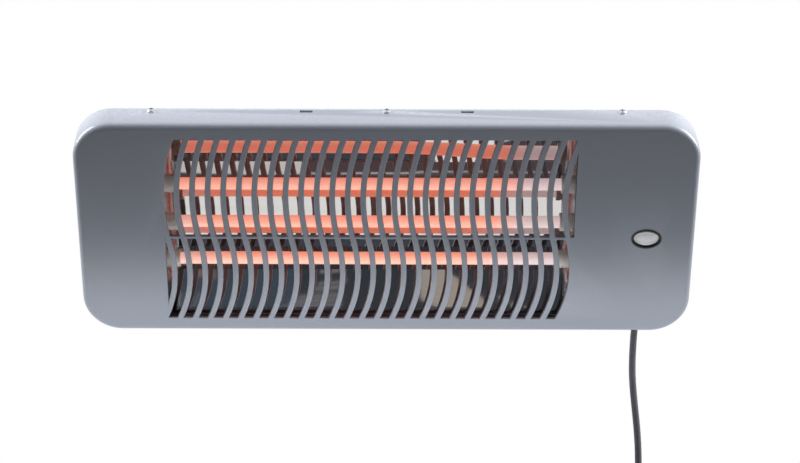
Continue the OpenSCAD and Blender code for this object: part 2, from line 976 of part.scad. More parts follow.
module switch_body() {
    color(black_plastic)
        place()
            translate([button_x, button_y, switch_top]) {
                difference() {
                    translate([-switch_size[0] / 2, -switch_size[1] / 2, -switch_size[2]])
                        cube(switch_size);
                    translate([0, 0, -switch_size[2] + 2])
                        cylinder(d = plunger_d + 4 * run_gap, h = switch_size[2], $fn = small);
                }
                for (x = [-tab_x, tab_x])
                    translate([x - tab_t / 2, -3, -switch_size[2] - tab_l])
                        cube([tab_t, 6, tab_l + over]);
                for (s = [0, 1])
                    mirror([s, 0, 0])
                        translate([shaft_l / 2 + clear, -4, -over])
                            cube([switch_size[0] / 2 - shaft_l / 2 - clear, 8, over - switch_top - bezel_depth]);
            }
}

// ---------- wiring ----------
block_size = [34, 16, 14];
// the block stands midway between the right tube holder and the housing's side
block_x = (plate_right + foot_w + step_w / 2) / 2;
block_y = -52;
block_top = floor_z + block_size[2];
block_pitch = 10;
core_d = 2.4;
core_in = 3;
core_x = 2;
lead_l = 20;
lead_end = boot_base_y + sheet + lead_l;
way_y = block_size[1] / 2;
way_z = floor_z + 6;
tab_z = switch_top - switch_size[2] - tab_l;
strip_end = tube_rows[2] - strip_w / 2 - strip_tail;
tray_y = -step_h / 2 + sheet + 2.7;
tray_z = floor_z + 7;

module terminal_block() {
    color([0.92, 0.92, 0.9])
        place()
            difference() {
                translate([block_x - block_size[0] / 2, block_y - block_size[1] / 2, floor_z])
                    cube(block_size);
                for (i = [-1 : 1]) {
                    translate([block_x + i * block_pitch, block_y - block_size[1], way_z])
                        rotate([-90, 0, 0])
                            cylinder(d = core_d + 1, h = 2 * block_size[1], $fn = small);
                    translate([block_x + i * block_pitch, block_y, block_top - 4])
                        cylinder(d = 5, h = 5, $fn = small);
                }
            }
}

module inner_lead() {
    color(black_plastic)
        place()
            translate([boot_x, boot_base_y + sheet, boot_z])
                rotate([-90, 0, 0])
                    cylinder(d = cord_d, h = lead_l, $fn = small);
}

module live_wire() {
    color("saddlebrown")
        place()
            wire([
                [boot_x + core_x, lead_end, boot_z],
                [boot_x + core_x, lead_end + 4, boot_z],
                [block_x + block_pitch, block_y - way_y - 5, way_z],
                [block_x + block_pitch, block_y - way_y + core_in, way_z]
            ], core_d);
}

module neutral_wire() {
    color("royalblue")
        place()
            wire([
                [boot_x - core_x, lead_end, boot_z],
                [boot_x - core_x, lead_end + 4, boot_z],
                [block_x, block_y - way_y - 6, way_z],
                [block_x, block_y - way_y + core_in, way_z]
            ], core_d);
}

// a push-on sleeve over a switch tab
module tab_sleeve(x) {
    translate([button_x + x, button_y, tab_z])
        difference() {
            translate([-1.4, -3.8, -1])
                cube([2.8, 7.6, tab_l - 1]);
            translate([-tab_t / 2 - run_gap, -3 - run_gap, 0])
                cube([tab_t + 2 * run_gap, 6 + 2 * run_gap, tab_l]);
        }
}

module feed_wire() {
    color("black")
        place() {
            tab_sleeve(tab_x);
            wire([
                [block_x + block_pitch, block_y + way_y - core_in, way_z],
                [block_x + block_pitch, block_y + way_y + 5, way_z],
                [button_x + tab_x, button_y - 14, tab_z - 5],
                [button_x + tab_x, button_y, tab_z - 5],
                [button_x + tab_x, button_y, tab_z - 0.5]
            ], core_d);
        }
}

module load_wire() {
    color("black")
        place() {
            tab_sleeve(-tab_x);
            wire([
                [button_x - tab_x, button_y, tab_z - 0.5],
                [button_x - tab_x, button_y, tab_z - 5],
                [button_x - tab_x, button_y - 8, tab_z - 5],
                [plate_right + neck_l + 24, strip_end + 12, -tube_depth - 8],
                [plate_right + neck_l + 16, strip_end + 4, -tube_depth],
                [plate_right + neck_l + strip_t, strip_end + 4, -tube_depth]
            ], core_d);
        }
}

module return_wire() {
    color("royalblue")
        place()
            wire([
                [block_x, block_y + way_y - core_in, way_z],
                [block_x, block_y + way_y + 5, way_z],
                [plate_right + 34, block_y + way_y + 5, way_z],
                [plate_right + 24, tray_y, tray_z],
                [plate_left - 20, tray_y, tray_z],
                [plate_left - neck_l - 12, strip_end + 4, -tube_depth],
                [plate_left - neck_l - strip_t, strip_end + 4, -tube_depth]
            ], core_d);
}

earth_x = boot_x - 32;
eye_t = 1;
barrel_d = 3.8;
barrel_z = barrel_d / 2 + 0.2;

module earth_wire() {
    color([0.5, 0.7, 0.2])
        place() {
            translate([earth_x, lead_end + 2, floor_z])
                difference() {
                    union() {
                        cylinder(d = 9, h = eye_t, $fn = small);
                        translate([0, -2.2, 0])
                            cube([12, 4.4, eye_t]);
                        translate([7, 0, barrel_z])
                            rotate([0, 90, 0])
                                cylinder(d = barrel_d, h = 6, $fn = small);
                    }
                    translate([0, 0, -over])
                        cylinder(d = screw_d + 2 * run_gap, h = eye_t + 2 * over, $fn = small);
                }
            wire([
                [boot_x, lead_end, boot_z - 2],
                [boot_x, lead_end + 3, boot_z - 2],
                [earth_x + 18, lead_end + 2, floor_z + barrel_z],
                [earth_x + 9, lead_end + 2, floor_z + barrel_z]
            ], core_d);
        }
}

module earth_screw() {
    color("goldenrod")
        place()
            translate([earth_x, lead_end + 2, floor_z + eye_t])
                pan_screw(screw_d, screw_head_d, screw_head_h, eye_t + sheet);
}

clamp_y = boot_base_y + sheet + 13;
clamp_w = 24;
clamp_top = boot_z + cord_d / 2 + 3;

module at_clamp_screws() {
    for (s = [-1, 1])
        translate([boot_x + s * 8.5, clamp_y, floor_z])
            children();
}

module cable_clamp() {
    color(black_plastic)
        place()
            difference() {
                translate([boot_x - clamp_w / 2, clamp_y - 5, floor_z])
                    cube([clamp_w, 10, clamp_top - floor_z]);
                translate([boot_x, clamp_y - 6, boot_z])
                    rotate([-90, 0, 0])
                        cylinder(d = cord_d + 2 * run_gap, h = 12, $fn = small);
                at_clamp_screws()
                    translate([0, 0, -over])
                        cylinder(d = small_screw_d + 2 * run_gap, h = clamp_top - floor_z + 2 * over, $fn = small);
            }
}

module clamp_screws() {
    color(zinc)
        place()
            at_clamp_screws()
                translate([0, 0, clamp_top - floor_z])
                    pan_screw(small_screw_d, small_head_d, small_head_h, clamp_top - floor_z + sheet);
}

// ---------- strain relief ----------
boot_ribs = 4;
rib_pitch = 4.4;

module cable_gland() {
    color(black_plastic)
        place()
            translate([boot_x, boot_base_y, boot_z])
                rotate([90, 0, 0]) {
                    difference() {
                        rotate_extrude($fn = small)
                            polygon([
                                [0, 0], [boot_d / 2 + 2, 0], [boot_d / 2 + 2, 2.5], [boot_d / 2, 3.5],
                                [boot_end_d / 2, boot_l - 1], [boot_end_d / 2 - 0.8, boot_l], [0, boot_l]
                            ]);
                        for (i = [0 : boot_ribs - 1])
                            translate([0, 0, 7 + i * rib_pitch])
                                difference() {
                                    cylinder(d = boot_d + 4, h = 1.6, $fn = small);
                                    cylinder(d = cord_d + 1, h = 1.6, $fn = small);
                                }
                    }
                    translate([0, 0, -sheet])
                        cylinder(d = boot_d - 3 - 2 * run_gap, h = sheet + 0.5, $fn = small);
                }
}

// ---------- bracket and pivots ----------
module ear_outline(depth) {
    translate([-depth, -ear_r])
        square([depth, 2 * ear_r]);
    translate([-depth, 0])
        circle(ear_r, $fn = fine);
}

module bracket_profile() {
    in_r = bend_r;
    x = bracket_w / 2;
    translate([-x + bracket_t + in_r, -bracket_t])
        square([2 * x - 2 * (bracket_t + in_r), bracket_t]);
    for (s = [0, 1])
        mirror([s, 0])
            translate([x - bracket_t - in_r, -bracket_t - in_r])
                intersection() {
                    difference() {
                        circle(bracket_t + in_r, $fn = fine);
                        circle(in_r, $fn = fine);
                    }
                    square(bracket_t + in_r);
                }
}

module wall_bracket() {
    color(steel_grey)
        difference() {
            union() {
                translate([0, 0, -bracket_h / 2])
                    linear_extrude(bracket_h)
                        bracket_profile();
                for (s = [0, 1])
                    mirror([s, 0, 0])
                        side_plate(bracket_w / 2 - bracket_t, bracket_t) {
                            translate([-wall_gap, -ear_r])
                                square([wall_gap - bracket_t - bend_r, 2 * ear_r]);
                            translate([-wall_gap, 0])
                                circle(ear_r, $fn = fine);
                            polygon([
                                [-bracket_t - bend_r, -bracket_h / 2], [-bracket_t - bend_r, bracket_h / 2],
                                [-bracket_t - bend_r - (bracket_h / 2 - ear_r), ear_r],
                                [-bracket_t - bend_r - (bracket_h / 2 - ear_r), -ear_r]
                            ]);
                        }
            }
            for (sx = [-1, 1], sz = [-1, 1])
                translate([sx * wall_hole_x / 2, over, sz * wall_hole_z / 2])
                    rotate([90, 0, 0])
                        linear_extrude(bracket_t + 2 * over)
                            slot_shape(wall_slot_l, wall_slot_w);
            translate([0, -wall_gap, 0])
                rotate([0, 90, 0])
                    cylinder(d = bolt_hole_d, h = bracket_w + 2 * over, center = true, $fn = small);
            translate([0, over, 0])
                rotate([90, 0, 0])
                    linear_extrude(bracket_t + 2 * over)
                        slot_shape(wall_hole_x / 2, bracket_h / 2);
        }
}

module tilt_lug(side) {
    mirror([side, 0, 0])
        difference() {
            union() {
                side_plate(lug_outer - bracket_t, bracket_t) {
                    translate([0, -pivot_depth])
                        circle(ear_r, $fn = fine);
                    translate([-ear_r, -pivot_depth])
                        square([2 * ear_r, pivot_stand]);
                }
                translate([lug_outer - lug_foot_w, -lug_foot_h / 2, -pan_depth - bracket_t])
                    cube([lug_foot_w, lug_foot_h, bracket_t]);
            }
            at_lug_screws()
                cylinder(d = screw_d + 2 * run_gap, h = 4 * bracket_t, center = true, $fn = small);
            translate([0, 0, -pivot_depth])
                rotate([0, 90, 0])
                    cylinder(d = bolt_hole_d, h = bracket_w, $fn = small);
        }
}

module left_tilt_lug() {
    color(steel_grey)
        place()
            tilt_lug(1);
}

module right_tilt_lug() {
    color(steel_grey)
        place()
            tilt_lug(0);
}

module lug_screws() {
    color(zinc)
        place()
            at_lug_screws()
                translate([0, 0, bracket_t])
                    pan_screw(screw_d, screw_head_d, screw_head_h, bracket_t + sheet + 1.5);
}

// the pivot axis on both sides, z pointing outwards, z = 0 at the outside of the bracket
module at_pivots() {
    for (s = [0, 1])
        mirror([s, 0, 0])
            translate([bracket_w / 2, -wall_gap, 0])
                rotate([tilt, 0, 0])
                    rotate([0, 90, 0])
                        children();
}

bolt_l = joint_gap + washer_t + bracket_t + joint_gap + washer_t + bracket_t + 7;

module pivot_bolts() {
    color(zinc)
        at_pivots() {
            translate([0, 0, joint_gap + washer_t])
                hex(head_af, head_t);
            translate([0, 0, joint_gap + washer_t - bolt_l])
                cylinder(d = bolt_d, h = bolt_l + 1, $fn = fine);
        }
}

module washer() {
    difference() {
        cylinder(d = washer_d, h = washer_t, $fn = fine);
        translate([0, 0, -over])
            cylinder(d = bolt_hole_d, h = washer_t + 2 * over, $fn = fine);
    }
}

module pivot_washers() {
    color(zinc)
        at_pivots() {
            translate([0, 0, joint_gap])
                washer();
            translate([0, 0, -bracket_t - joint_gap - washer_t])
                washer();
        }
}

module pivot_nuts() {
    color(zinc)
        at_pivots()
            translate([0, 0, -2 * bracket_t - joint_gap - washer_t - 5])
                difference() {
                    hex(head_af, 5);
                    translate([0, 0, -over])
                        cylinder(d = bolt_hole_d, h = 5 + 2 * over, $fn = fine);
                }
}

// ---------- lead, coil and plug ----------
cord_path = concat(
    [boot_end, boot_end + 7 * boot_dir],
    lead_points,
    [[coil_x + coil_out_r, lead_y, coil_top]]
);

module mains_cord() {
    color(black_plastic)
        tube_along(cord_path, cord_d, 8, [1, 0, 0]);
}

// radius and layer of the coil at turn t: in on the back layer, out again on the front one
function coil_radius(t) = coil_out_r - turn_pitch * min(t, coil_turns - t);
function coil_y(t) = lead_y - coil_layer * min(1, max(0, 2 * (t - coil_turns / 2) + 0.5));
coil_path = concat(
    [[coil_x + coil_out_r, lead_y, coil_top], [coil_x + coil_out_r, lead_y, coil_top - cord_d]],
    [
        for (i = [0 : coil_turns * coil_rings])
            let (t = i / coil_rings, a = -360 * t)
            [coil_x + coil_radius(t) * cos(a), coil_y(t), coil_z + coil_radius(t) * sin(a)]
    ],
    [[coil_x + coil_out_r, lead_y - coil_layer, coil_z - tail_l]]
);
echo(least_gap_of_coil = least_gap(coil_path, cord_d, 8));

module cord_coil() {
    color(black_plastic)
        tube_along(coil_path, cord_d, 6, [0, 1, 0]);
}

tie_t = 1.6;
tie_w = 10;
tie_gap = 0.5;

module cord_tie() {
    in_r = coil_radius(coil_turns / 2 - 0.25) - cord_d / 2 - tie_gap;
    out_r = coil_radius(coil_turns - 0.25) + cord_d / 2 + tie_gap;
    thick = coil_layer + cord_d + 2 * tie_gap;
    color([0.1, 0.1, 0.1])
        translate([coil_x, lead_y - coil_layer / 2, coil_z])
            rotate([0, 90, 180])
                translate([0, 0, -tie_w / 2])
                    linear_extrude(tie_w)
                        translate([-(in_r + out_r) / 2, 0])
                            difference() {
                                rounded_rect(out_r - in_r + 2 * tie_t, thick + 2 * tie_t, 4);
                                rounded_rect(out_r - in_r, thick, 4 - tie_t);
                            }
}

plug_top = coil_z - tail_l;
module at_plug() {
    translate([coil_x + coil_out_r, lead_y - coil_layer, plug_top])
        mirror([0, 0, 1])
            children();
}

module plug_body() {
    color(black_plastic)
        at_plug()
            difference() {
                union() {
                    rotate_extrude($fn = fine)
                        polygon([
                            [0, 0], [cord_d / 2 + 1, 0], [relief_d / 2, relief_l], [plug_d / 2 - 6, relief_l],
                            [plug_d / 2 - 2, relief_l + 4], [plug_d / 2 - 3, relief_l + 12],
                            [plug_d / 2, relief_l + 18], [plug_d / 2, relief_l + plug_l], [0, relief_l + plug_l]
                        ]);
                }
                for (s = [0, 1])
                    mirror([0, s, 0])
                        translate([-3, plug_d / 2 - 2, relief_l + 12])
                            cube([6, 4, plug_l]);
                for (s = [-1, 1])
                    translate([s * pin_spacing / 2, 0, relief_l + plug_l - 8])
                        cylinder(d = pin_stem_d + 2 * run_gap, h = 10, $fn = small);
            }
}

module plug_pins() {
    color(zinc)
        at_plug()
            for (s = [-1, 1])
                translate([s * pin_spacing / 2, 0, relief_l + plug_l - 8]) {
                    cylinder(d = pin_stem_d, h = 8 + pin_stand + 1, $fn = small);
                    translate([0, 0, 8 + pin_stand])
                        cylinder(d = pin_d, h = pin_l - pin_stand - pin_d / 2, $fn = small);
                    translate([0, 0, pin_l + 8 - pin_d / 2])
                        sphere(d = pin_d, $fn = small);
                }
}

module plug_earth_strips() {
    color(zinc)
        at_plug()
            for (s = [0, 1])
                mirror([0, s, 0])
                    translate([-2, plug_d / 2 - 2, relief_l + 16])
                        cube([4, 0.8, plug_l - 16]);
}

front_cover();
rear_housing();
cover_screws();
reflector();
reflector_screws();
left_tube_holder();
right_tube_holder();
holder_screws();
quartz_tube(tube_rows[0]);  // upper_quartz_tube
quartz_tube(tube_rows[1]);  // middle_quartz_tube
quartz_tube(tube_rows[2]);  // lower_quartz_tube
heating_coil(tube_rows[0]);  // upper_heating_coil
heating_coil(tube_rows[1]);  // middle_heating_coil
heating_coil(tube_rows[2]);  // lower_heating_coil
left_cap(tube_rows[0]);  // upper_left_cap
left_cap(tube_rows[1]);  // middle_left_cap
left_cap(tube_rows[2]);  // lower_left_cap
right_cap(tube_rows[0]);  // upper_right_cap
right_cap(tube_rows[1]);  // middle_right_cap
right_cap(tube_rows[2]);  // lower_right_cap
terminal_studs();
terminal_nuts();
left_bus_strip();
right_bus_strip();
button_bezel();
button_cap();
switch_plunger();
button_spring();
switch_body();
terminal_block();
inner_lead();
live_wire();
feed_wire();
neutral_wire();
load_wire();
return_wire();
earth_wire();
earth_screw();
cable_clamp();
clamp_screws();
cable_gland();
wall_bracket();
left_tilt_lug();
right_tilt_lug();
lug_screws();
pivot_bolts();
pivot_washers();
pivot_nuts();
mains_cord();
cord_coil();
cord_tie();
plug_body();
plug_pins();
plug_earth_strips();
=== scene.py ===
"""Wall-mounted electric bar heater: finishes, reflector, softened edges, lead, light and camera.

The frame gives every part its place. Lengths are in metres, z is up, the wall is at y = 0
and the room lies towards -y.
"""

import json
import math

import bmesh
import bpy
from mathutils import Matrix, Vector


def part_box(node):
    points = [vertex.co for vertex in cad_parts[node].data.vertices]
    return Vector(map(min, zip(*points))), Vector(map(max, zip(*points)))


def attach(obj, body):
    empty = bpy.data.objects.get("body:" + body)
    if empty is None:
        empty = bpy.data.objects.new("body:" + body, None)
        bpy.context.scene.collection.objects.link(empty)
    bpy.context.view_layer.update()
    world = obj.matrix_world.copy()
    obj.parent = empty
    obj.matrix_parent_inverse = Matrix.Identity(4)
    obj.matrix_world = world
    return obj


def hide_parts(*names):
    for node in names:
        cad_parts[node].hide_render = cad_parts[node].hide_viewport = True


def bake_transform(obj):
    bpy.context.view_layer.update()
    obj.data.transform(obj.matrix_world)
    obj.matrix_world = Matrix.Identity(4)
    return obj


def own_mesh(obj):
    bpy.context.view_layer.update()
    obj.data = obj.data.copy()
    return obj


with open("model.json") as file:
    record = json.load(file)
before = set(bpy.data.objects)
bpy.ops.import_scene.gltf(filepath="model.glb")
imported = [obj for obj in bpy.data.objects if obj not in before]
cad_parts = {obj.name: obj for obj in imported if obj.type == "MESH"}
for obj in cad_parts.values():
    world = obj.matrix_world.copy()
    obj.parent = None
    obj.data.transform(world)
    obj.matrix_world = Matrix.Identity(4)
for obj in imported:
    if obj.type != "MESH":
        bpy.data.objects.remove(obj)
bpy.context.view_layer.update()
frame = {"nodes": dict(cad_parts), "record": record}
bpy.context.scene.view_settings.view_transform = "Standard"
slot_of = {part["node"]: part["material_slot"] for part in frame["record"]["subparts"]}
body_of_node = {
    node: body
    for body, members in frame["record"]["behaviour"]["bodies"].items()
    for node in members
}

LEAN = math.radians(32)  # how far the face leans down at rest
WALL_GAP = 0.072  # from the wall to the axis of the pivot bolts
PIVOT_DEPTH = 0.08  # from that axis out to the front of the face
OUTWARD = Vector((0, -math.cos(LEAN), -math.sin(LEAN)))
UPWARD = Vector((0, -math.sin(LEAN), math.cos(LEAN)))
SAME = 1e-5  # points closer than this to a plane lie in it
PAINTED_LIGHT_SIDE = (0, -0.8, -0.6)  # the side of the tubes that gets a painted lit side in their emission
FLOOR_Z = -0.475
CAMERA_DISTANCE = 2.32  # from the camera to the middle of the face
CAMERA_ROLL = math.radians(-0.185)
PICTURE_MIDDLE = (386.4, 231)  # column and row of the middle of the face
PIXELS_PER_METRE = 1030  # on an upright plane through the middle of the face


def on_face(x, y, z=0.0):
    """A point of the face's own frame (x right, y up, z out of the face) in the shared frame."""
    return Vector((x, -WALL_GAP, 0)) + UPWARD * y + OUTWARD * (z + PIVOT_DEPTH)


# ---------------------------------------------------------------- camera
def make_camera():
    """The camera, level and square to the wall, rolled by a little."""
    data = bpy.data.cameras.new("camera")
    data.lens = 107.5
    data.sensor_width = 36
    data.shift_x = 0.017
    data.clip_end = 50
    camera = bpy.data.objects.new("camera", data)
    bpy.context.scene.collection.objects.link(camera)
    centre = on_face(0, 0)
    camera.location = (0, centre.y - CAMERA_DISTANCE, centre.z)
    camera.rotation_mode = "QUATERNION"
    level = Vector((0, 1, 0)).to_track_quat("-Z", "Y")
    roll = Matrix.Rotation(CAMERA_ROLL, 4, "Y").to_quaternion()
    camera.rotation_quaternion = roll @ level
    bpy.context.scene.camera = camera


make_camera()


# ---------------------------------------------------------------- shader building blocks
def add(tree, kind, inputs=None, **settings):
    """A new node. Settings are its properties; inputs are fed from a socket or hold a value."""
    node = tree.nodes.new("ShaderNode" + kind)
    for name, value in settings.items():
        setattr(node, name, value)
    for label, source in (inputs or {}).items():
        if isinstance(source, bpy.types.NodeSocket):
            tree.links.new(source, node.inputs[label])
        else:
            node.inputs[label].default_value = source
    return node


def mixed(tree, share, low, high):
    """A colour between two others, each a colour or a socket."""
    node = tree.nodes.new("ShaderNodeMix")
    node.data_type = "RGBA"
    for place, source in ((0, share), (6, low), (7, high)):
        if isinstance(source, bpy.types.NodeSocket):
            tree.links.new(source, node.inputs[place])
        else:
            node.inputs[place].default_value = source if place == 0 else (*source, 1)
    return node.outputs[2]


def calc(tree, operation, first, second=0.0, third=0.0):
    """The result of one sum on numbers or sockets."""
    node = tree.nodes.new("ShaderNodeMath")
    node.operation = operation
    for place, source in enumerate((first, second, third)):
        if isinstance(source, bpy.types.NodeSocket):
            tree.links.new(source, node.inputs[place])
        else:
            node.inputs[place].default_value = source
    return node.outputs[0]


def new_group(name, inputs, outputs):
    """An empty shader group with its sockets, and its input and output nodes."""
    group = bpy.data.node_groups.new(name, "ShaderNodeTree")
    for label, kind, value in inputs:
        socket = group.interface.new_socket(label, in_out="INPUT", socket_type=kind)
        socket.default_value = value
    for label, kind in outputs:
        group.interface.new_socket(label, in_out="OUTPUT", socket_type=kind)
    return group, group.nodes.new("NodeGroupInput"), group.nodes.new("NodeGroupOutput")


def blended(tree, share, low, high):
    """A number between two sockets' numbers."""
    node = tree.nodes.new("ShaderNodeMix")
    for place, source in ((0, share), (2, low), (3, high)):
        if isinstance(source, bpy.types.NodeSocket):
            tree.links.new(source, node.inputs[place])
        else:
            node.inputs[place].default_value = source
    return node.outputs[0]


NUMBER = "NodeSocketFloat"
ARROW = "NodeSocketVector"


def make_grain_group():
    """Fine grain over broad mottling: a mask around one half, and a height."""
    group, inside, out = new_group(
        "surface grain",
        [
            ("Fine Scale", NUMBER, 1500.0), ("Broad Scale", NUMBER, 18.0),
            ("Fine Share", NUMBER, 0.6),
        ],
        [("Mask", NUMBER), ("Height", NUMBER)],
    )
    place = add(group, "TexCoord").outputs["Object"]
    fine = add(
        group, "TexNoise", {"Vector": place, "Scale": inside.outputs["Fine Scale"], "Detail": 2}
    ).outputs["Fac"]
    broad = add(
        group, "TexNoise", {"Vector": place, "Scale": inside.outputs["Broad Scale"], "Detail": 3}
    ).outputs["Fac"]
    group.links.new(blended(group, inside.outputs["Fine Share"], broad, fine), out.inputs["Mask"])
    group.links.new(fine, out.inputs["Height"])
    return group


def make_drawn_group():
    """Fine lines along one direction, as brushing, rolling or drawing leaves them."""
    group, inside, out = new_group(
        "drawn lines",
        [("Stretch", ARROW, (12.0, 900.0, 900.0)), ("Broad Scale", NUMBER, 30.0)],
        [("Mask", NUMBER), ("Height", NUMBER)],
    )
    place = add(group, "TexCoord").outputs["Object"]
    stretched = add(
        group, "VectorMath", {0: place, 1: inside.outputs["Stretch"]}, operation="MULTIPLY"
    ).outputs["Vector"]
    fine = add(group, "TexNoise", {"Vector": stretched, "Scale": 1, "Detail": 3}).outputs["Fac"]
    broad = add(
        group, "TexNoise", {"Vector": place, "Scale": inside.outputs["Broad Scale"]}
    ).outputs["Fac"]
    group.links.new(blended(group, 0.35, fine, broad), out.inputs["Mask"])
    group.links.new(fine, out.inputs["Height"])
    return group


def make_wear_and_highlight_edge_group():
    """Where the surface turns sharply outwards, broken up by grain: rubbed or polished edges, and
    on the grey face paint a painted highlight along the edges.
    """
    group, inside, out = new_group(
        "rubbed edges and painted edge highlights",
        [("Start", NUMBER, 0.52), ("Full", NUMBER, 0.6), ("Grain Scale", NUMBER, 300.0)],
        [("Mask", NUMBER)],
    )
    place = add(group, "TexCoord").outputs["Object"]
    crest = add(group, "NewGeometry").outputs["Pointiness"]
    patchy = add(
        group, "TexNoise", {"Vector": place, "Scale": inside.outputs["Grain Scale"], "Detail": 2}
    ).outputs["Fac"]
    edge = add(
        group, "MapRange",
        {"Value": crest, "From Min": inside.outputs["Start"], "From Max": inside.outputs["Full"]},
    ).outputs["Result"]
    rough_patches = calc(group, "MULTIPLY_ADD", patchy, 1.2, 0.1)
    group.links.new(calc(group, "MULTIPLY", edge, rough_patches), out.inputs["Mask"])
    return group


def make_heat_group():
    """The heat of a winding along x, cold past its ends, and the faint bands of its turns."""
    group, inside, out = new_group(
        "winding heat",
        [
            ("Left Cold", NUMBER, -0.2), ("Left Hot", NUMBER, -0.18),
            ("Right Hot", NUMBER, 0.105), ("Right Cold", NUMBER, 0.135), ("Pitch", NUMBER, 0.0026),
        ],
        [("Heat", NUMBER), ("Turns", NUMBER)],
    )
    place = add(group, "TexCoord").outputs["Object"]
    along = add(group, "SeparateXYZ", {0: place}).outputs["X"]
    ends = []
    for cold, hot in (("Left Cold", "Left Hot"), ("Right Cold", "Right Hot")):
        ends.append(
            add(
                group, "MapRange",
                {"Value": along, "From Min": inside.outputs[cold], "From Max": inside.outputs[hot]},
                interpolation_type="SMOOTHSTEP",
            ).outputs["Result"]
        )
    uneven = add(group, "TexNoise", {"Vector": place, "Scale": 34, "Detail": 2}).outputs["Fac"]
    between = calc(group, "MULTIPLY", *ends)
    heat = calc(group, "MULTIPLY", between, calc(group, "MULTIPLY_ADD", uneven, 0.5, 0.75))
    whole_turns = calc(group, "MULTIPLY", along, 2 * math.pi)
    turns = calc(group, "SINE", calc(group, "DIVIDE", whole_turns, inside.outputs["Pitch"]))
    group.links.new(heat, out.inputs["Heat"])
    group.links.new(calc(group, "MULTIPLY_ADD", turns, 0.5, 0.5), out.inputs["Turns"])
    return group


grain_group = make_grain_group()
drawn_group = make_drawn_group()
wear_and_highlight_edge_group = make_wear_and_highlight_edge_group()
heat_group = make_heat_group()


def use_group(tree, group, settings):
    """A group's node in a material, with its values."""
    node = tree.nodes.new("ShaderNodeGroup")
    node.node_tree = group
    for label, value in settings.items():
        node.inputs[label].default_value = value
    return node


def new_material(name, sockets):
    """A material, its tree and its shader, with the values that are the same all over."""
    material = bpy.data.materials.new(name)
    material.use_nodes = True
    shader = material.node_tree.nodes["Principled BSDF"]
    for label, value in sockets.items():
        shader.inputs[label].default_value = value
    return material, material.node_tree, shader


def finish_material(
    name, dark, light, rough, group, settings, bump=0.0, depth=0.0001, sockets=None, edge=None,
    wave=None,
):
    """A surface whose colour and roughness drift between two values with a group's mask.

    The values of sockets are the same all over. edge is a colour, a roughness and a share for
    lighter edges: rubbed or polished on some finishes, a painted highlight on the grey face paint.
    wave is the noise scale and the depth of slow dents in a sheet.
    """
    material, tree, shader = new_material(name, sockets or {})
    pattern = use_group(tree, group, settings)
    spread = add(
        tree, "MapRange", {"Value": pattern.outputs["Mask"], "From Min": 0.3, "From Max": 0.7}
    ).outputs["Result"]
    colour = mixed(tree, spread, dark, light)
    gloss = blended(tree, spread, *rough)
    # lighter edges: wear or polish on some finishes, a painted highlight on the grey face paint
    if edge:
        crest = use_group(tree, wear_and_highlight_edge_group, {}).outputs["Mask"]
        share = calc(tree, "MULTIPLY", crest, edge[2])
        colour = mixed(tree, share, colour, edge[0])
        gloss = blended(tree, share, gloss, edge[1])
    tree.links.new(colour, shader.inputs["Base Color"])
    tree.links.new(gloss, shader.inputs["Roughness"])
    normal = None
    if wave:
        place = add(tree, "TexCoord").outputs["Object"]
        slow = add(tree, "TexNoise", {"Vector": place, "Scale": wave[0], "Detail": 1})
        inputs = {"Height": slow.outputs["Fac"], "Strength": 1, "Distance": wave[1]}
        normal = add(tree, "Bump", inputs).outputs["Normal"]
    if bump:
        inputs = {"Height": pattern.outputs["Height"], "Strength": bump, "Distance": depth}
        if normal:
            inputs["Normal"] = normal
        normal = add(tree, "Bump", inputs).outputs["Normal"]
    if normal:
        tree.links.new(normal, shader.inputs["Normal"])
    return material


def tube_material(name, left, right):
    """Milky quartz: pale where it is cold, salmon and glowing where the winding is. Its emission
    also holds painted light: a pale painted glow on the cold ends and a painted lit side towards
    the room.

    left and right each hold the two x between which the winding turns from cold to hot.
    """
    material, tree, shader = new_material(
        name, {"Emission Strength": 1.0, "IOR": 1.46, "Specular IOR Level": 0.6}
    )
    heat = use_group(
        tree, heat_group,
        {
            "Left Cold": left[0], "Left Hot": left[1],
            "Right Hot": right[0], "Right Cold": right[1],
        },
    )
    cloud = use_group(tree, grain_group, grain(1300, 60, 0.5)).outputs["Mask"]
    share = heat.outputs["Heat"]
    cold = mixed(tree, cloud, (0.58, 0.54, 0.53), (0.72, 0.69, 0.68))
    warm = mixed(tree, cloud, (0.66, 0.58, 0.44), (0.82, 0.74, 0.60))
    tree.links.new(mixed(tree, share, cold, warm), shader.inputs["Base Color"])
    # painted light: the cold ends glow pale, which stands in for light falling on them; the hot
    # part's salmon glow is the winding's own
    glow = mixed(tree, share, (0.36, 0.28, 0.28), (0.66, 0.150, 0.095))
    band = calc(tree, "MULTIPLY", heat.outputs["Turns"], 0.15)
    banded = mixed(tree, band, glow, (0.42, 0.07, 0.04))
    # painted light: the side of the tube that faces the room gets extra pale emission, a painted
    # lit side
    normal = add(tree, "NewGeometry").outputs["Normal"]
    facing = add(tree, "VectorMath", {0: normal, 1: PAINTED_LIGHT_SIDE}, operation="DOT_PRODUCT")
    lit = add(
        tree, "MapRange", {"Value": facing.outputs["Value"], "From Min": -0.6, "From Max": 1.0}
    ).outputs["Result"]
    painted_front_light = mixed(tree, share, (0.14, 0.10, 0.10), (0.17, 0.115, 0.095))
    whole = add(tree, "VectorMath", {0: painted_front_light, 1: lit, 2: banded}, operation="MULTIPLY_ADD")
    tree.links.new(whole.outputs["Vector"], shader.inputs["Emission Color"])
    tree.links.new(blended(tree, cloud, 0.12, 0.22), shader.inputs["Roughness"])
    return material


def grain(fine=1500.0, broad=18.0, share=0.6):
    """The surface grain's values."""
    return {"Fine Scale": fine, "Broad Scale": broad, "Fine Share": share}


def lines(along=12.0, across=900.0, broad=30.0):
    """The drawn lines' values."""
    return {"Stretch": (along, across, across), "Broad Scale": broad}


